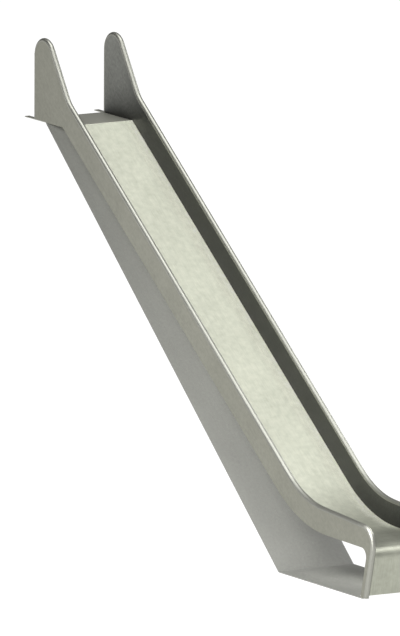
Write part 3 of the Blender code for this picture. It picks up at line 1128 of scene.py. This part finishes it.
@dataclass
class Cheek:
    """One side of the slide: a hollow box of two flat sheets, a round rim and a narrow strip below."""

    side: Side
    view: SideView
    finishes: Finishes
    sections: tuple[str, ...] = ("ear", "slope", "runout", "leg")
    rim_corner_points: int = 12
    sheet_edge: float = 0.0001
    lug_edge: float = 0.0008

    def build(self, sweep_bullnose: SweepTree, sweep_flat: SweepTree) -> None:
        """Makes the cheek's pieces.

        Args:
            sweep_bullnose: Tree that makes the rim.
            sweep_flat: Tree that makes the strip.
        """
        self._rim(sweep_bullnose)
        self._sheets()
        self._strip(sweep_flat)
        self._lug()
        self._foot()

    def _nodes(self, kind: str) -> list[str]:
        """Returns the names of the CAD nodes of one kind in every section."""
        return [f"{self.side.label}_{section}_{kind}" for section in self.sections]

    def _rim(self, sweep: SweepTree) -> None:
        """Rolls the rim from the ear's rear foot, over the ear and down the slide to the leg's foot.

        Args:
            sweep: Tree that makes it.
        """
        s = self.view.sizes
        long_edge = ended_at(self.view.free_edge, s.leg_foot - s.rim_depth)
        mesh = sweep.run(
            long_edge,
            self.side.value * (s.half_width - s.rim_radius),
            s.rim_radius,
            self.finishes.rim,
            Vector((0, -1, 0)),
            self.rim_corner_points,
            s.rim_lip,
        )
        with edited(mesh) as work:
            cut(work, (0, 0, s.leg_foot), UP, True)
        rim = thickened(f"{self.side.label}_cheek_rim", mesh, s.skin)
        hand_over(rim, "rim_steel", *self._nodes("rim"))

    def _sheets(self) -> None:
        """Cuts the outer and the inner sheet."""
        s = self.view.sizes
        high = ended_at(beside(self.view.free_edge, -s.rim_depth), s.leg_foot)
        low = self.view.low_edge
        on_lug = Vector((low[0].x, s.platform_height))
        outline = [*high, *reversed(low), on_lug]
        for layer, face, finish in (
            ("outer", s.half_width, self.finishes.satin),
            ("inner", s.inner_half + s.skin, self.finishes.inner),
        ):
            ends = sorted((self.side.value * face, self.side.value * (face - s.skin)))
            name = f"{self.side.label}_cheek_{layer}_sheet"
            sheet = plate(name, outline, *ends, finish, self.sheet_edge)
            hand_over(sheet, "satin_steel", *self._nodes(f"{layer}_skin"))

    def _strip(self, sweep: SweepTree) -> None:
        """Closes the cheek below, between its two sheets.

        Args:
            sweep: Tree that makes the strip.
        """
        s = self.view.sizes
        middle = self.side.value * (s.half_width - s.rim_radius)
        back = ended_at(beside(self.view.low_edge, s.skin), s.leg_foot)
        mesh = sweep.run(back, middle, s.rim_radius - s.skin, self.finishes.satin)
        strip = thickened(f"{self.side.label}_cheek_edge_strip", mesh, s.skin)
        hand_over(strip, "satin_steel", *self._nodes("edge_strip"))

    def _lug(self) -> None:
        """Cuts the flat lug behind the ear."""
        s = self.view.sizes
        tail = self.view.at(s.lug_tail_run, s.platform_height)
        front = self.view.at(s.lug_front_run, s.platform_height)
        outline = [tail, front, *reversed(beside([tail, front], -s.platform_plate))]
        ends = sorted((self.side.value * s.inner_half, self.side.value * s.half_width))
        name = f"{self.side.label}_bevelled_lug"
        lug = plate(name, outline, *ends, self.finishes.plate, self.lug_edge)
        hand_over(lug, "plate_steel", f"{self.side.label}_fixing_lug")

    def _foot(self) -> None:
        """Dresses the cap under the leg, whose CAD shape is right as it is."""
        node = bpy.data.objects[f"{self.side.label}_foot_cap"]
        node.data.materials.clear()
        node.data.materials.append(self.finishes.plate)


@dataclass
class Chute:
    """What a person sits and slides on: the platform, and one sheet from there to the front plate's foot."""

    view: SideView
    finishes: Finishes
    across_points: int = 9
    platform_edge: float = 0.002

    def build(self, sweep_flat: SweepTree) -> None:
        """Makes the platform and the sliding sheet.

        Args:
            sweep_flat: Tree that makes the sheet.
        """
        s = self.view.sizes
        rear = self.view.at(s.ear_rear_run, s.platform_height)
        front = self.view.at(s.platform_front_run, s.platform_height)
        outline = [rear, front, *reversed(beside([rear, front], -s.platform_plate))]
        ends = (-s.inner_half, s.inner_half)
        deck = plate("platform_deck", outline, *ends, self.finishes.deck, self.platform_edge)
        hand_over(deck, "plate_steel", "platform_plate")
        face = self.view.sliding_face
        mesh = sweep_flat.run(face, 0, s.inner_half, self.finishes.sliding, points=self.across_points)
        sheet = thickened("sliding_sheet", mesh, s.bed_sheet)
        hand_over(sheet, "sliding_steel", "bed_sheet", "runout_sheet", "nose_roll", "front_plate")


@dataclass
class Base:
    """The folded plate that lies on the bank and on the ground."""

    view: SideView
    finishes: Finishes
    across_points: int = 9

    def build(self, sweep_flat: SweepTree) -> None:
        """Makes the folded plate.

        Args:
            sweep_flat: Tree that makes the plate.
        """
        s = self.view.sizes
        face = self.view.base_face
        mesh = sweep_flat.run(face, 0, s.half_width, self.finishes.base, points=self.across_points)
        with edited(mesh) as work:
            cut(work, (0, 0, s.platform_height - s.platform_plate), -UP, True)
        notch(mesh, self.view.at(s.notch_run, 0).x, s.inner_half)
        base = thickened("folded_base", mesh, s.base_plate)
        hand_over(base, "plate_steel", "base_slope_plate", "ground_plate")


@dataclass
class Welds:
    """Stitch welds under the bed, along both cheeks, sunk a little into the corner there."""

    view: SideView
    finishes: Finishes
    bead_radius: float = 0.003
    ripple_step: float = 0.0022
    stitch_length: float = 0.035
    stitch_pitch: float = 0.16

    def build(self) -> None:
        """Lays the welds on both sides."""
        tree = WeldTree()
        s = self.view.sizes
        under = beside(self.view.sliding_face, -s.bed_sheet - self.bead_radius / 2)
        values = {
            "Ripple Step": self.ripple_step,
            "Stitch Length": self.stitch_length,
            "Stitch Pitch": self.stitch_pitch,
            "Bead Radius": self.bead_radius,
            "Seed": WeldTree.SEED,
            "Material": self.finishes.weld,
        }
        for side in Side:
            path = drawn_path(under, side.value * (s.inner_half - self.bead_radius / 3))
            mesh = run_tree(path, tree.group, values)
            mesh.shade_smooth()
            hand_over(add_object(f"{side.label}_bed_welds", mesh), "satin_steel")


@dataclass(frozen=True)
class StudioCamera:
    """Long-lens camera at the photo's angle, far enough for an almost parallel view."""

    azimuth: float = math.radians(60.16)
    elevation: float = math.radians(9.74)
    target: tuple[float, float, float] = (-1.542, -0.278, 1.503)
    distance: float = 122.26
    lens: float = 1075.0
    reach: float = 400.0

    def build(self) -> None:
        """Places the camera and makes it the scene's own."""
        data = bpy.data.cameras.new("studio_camera")
        data.lens = self.lens
        data.clip_end = self.reach
        level = math.cos(self.elevation)
        x, y = math.sin(self.azimuth) * level, -math.cos(self.azimuth) * level
        back = Vector((x, y, math.sin(self.elevation)))
        camera = add_object("studio_camera", data)
        camera.location = Vector(self.target) + back * self.distance
        camera.rotation_euler = (-back).to_track_quat("-Z", "Y").to_euler()
        bpy.context.scene.camera = camera


@dataclass(frozen=True)
class SoftLight:
    """One large white softbox, which the camera does not see."""

    name: str
    place: tuple[float, float, float]
    aim: tuple[float, float, float]
    size: tuple[float, float]
    power: float

    def build(self) -> None:
        """Places the softbox and turns it to what it lights."""
        data = bpy.data.lights.new(self.name, "AREA")
        data.shape = "RECTANGLE"
        data.size, data.size_y = self.size
        data.energy = self.power
        lamp = add_object(self.name, data)
        lamp.visible_camera = False
        lamp.location = self.place
        lamp.rotation_euler = (Vector(self.aim) - Vector(self.place)).to_track_quat("-Z", "Y").to_euler()


@dataclass(frozen=True)
class Studio:
    """Glowing floor, softboxes and a dim dome with one bright round patch overhead."""

    floor_half: float = 60.0
    floor_segments: int = 2
    floor_drop: float = 0.0005
    dome: float = 0.12
    patch: float = 5.4
    patch_way: tuple[float, float, float] = (0.15, -0.07, 1.0)
    patch_core: float = math.radians(12)
    patch_rim: float = math.radians(38)
    # The strong boxes stand high, so that the cheeks mirror them only to below the floor
    lights: tuple[SoftLight, ...] = (
        SoftLight("front_box", (1.8, -4.6, 4.4), (-0.4, 0.0, 0.7), (3.0, 2.5), 820.0),
        SoftLight("low_box", (3.2, -3.9, 0.5), (0.4, 0.0, 0.3), (1.6, 0.8), 60.0),
        SoftLight("side_box", (-1.5, -6.0, 4.2), (-1.5, 0.0, 1.2), (4.0, 3.0), 140.0),
        SoftLight("back_box", (-1.5, 6.0, 4.2), (-1.5, 0.0, 1.2), (4.0, 3.0), 300.0),
        SoftLight("rear_box", (-6.0, -4.0, 1.5), (-1.0, -0.2, 1.0), (3.0, 3.0), 20.0),
        SoftLight("nose_box", (6.0, 5.0, 2.5), (1.0, 0.0, 0.3), (8.0, 5.0), 60.0),
    )

    def build(self) -> None:
        """Sets up floor, dome, softboxes and camera."""
        self._floor()
        self._dome()
        for light in self.lights:
            light.build()
        StudioCamera().build()
        bpy.context.scene.view_settings.view_transform = "Standard"

    def _floor(self) -> None:
        """Lays the floor just under the ground plate."""
        mesh = bpy.data.meshes.new("floor")
        with edited(mesh) as work:
            count = self.floor_segments
            bmesh.ops.create_grid(work, x_segments=count, y_segments=count, size=self.floor_half)
            bmesh.ops.translate(work, verts=work.verts, vec=(0, 0, -self.floor_drop))
        mesh.materials.append(FloorFinish().build())
        add_object("floor", mesh)

    def _dome(self) -> None:
        """Makes the dome's light: even and dim, with a soft-edged bright patch."""
        world = bpy.data.worlds.new("dome")
        tree = emptied(world)
        way = add_node(tree, "ShaderNodeTexCoord").outputs["Generated"]
        settings = {"operation": "DOT_PRODUCT", 1: Vector(self.patch_way).normalized()}
        nearness = add_node(tree, "ShaderNodeVectorMath", settings, {0: way}).outputs["Value"]
        settings = {
            "interpolation_type": "SMOOTHSTEP",
            "From Min": math.cos(self.patch_rim),
            "From Max": math.cos(self.patch_core),
            "To Min": self.dome,
            "To Max": self.dome + self.patch,
        }
        strength = add_node(tree, "ShaderNodeMapRange", settings, {"Value": nearness})
        white = {"Color": linear("ffffff")}
        glow = add_node(tree, "ShaderNodeBackground", white, {"Strength": strength})
        add_node(tree, "ShaderNodeOutputWorld", links={"Surface": glow})
        bpy.context.scene.world = world


def main() -> None:
    """Loads the frame, builds every sub-assembly around it and sets up the studio."""
    logging.basicConfig(level=logging.INFO, format="%(message)s")
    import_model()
    view = SideView(SlideSizes.from_frame())
    finishes = Finishes.make()
    bullnose = SweepTree(Section.BULLNOSE)
    flat = SweepTree(Section.FLAT)
    for side in Side:
        Cheek(side, view, finishes).build(bullnose, flat)
    Chute(view, finishes).build(flat)
    Base(view, finishes).build(flat)
    Welds(view, finishes).build()
    Studio().build()


if __name__ == "__main__":
    main()
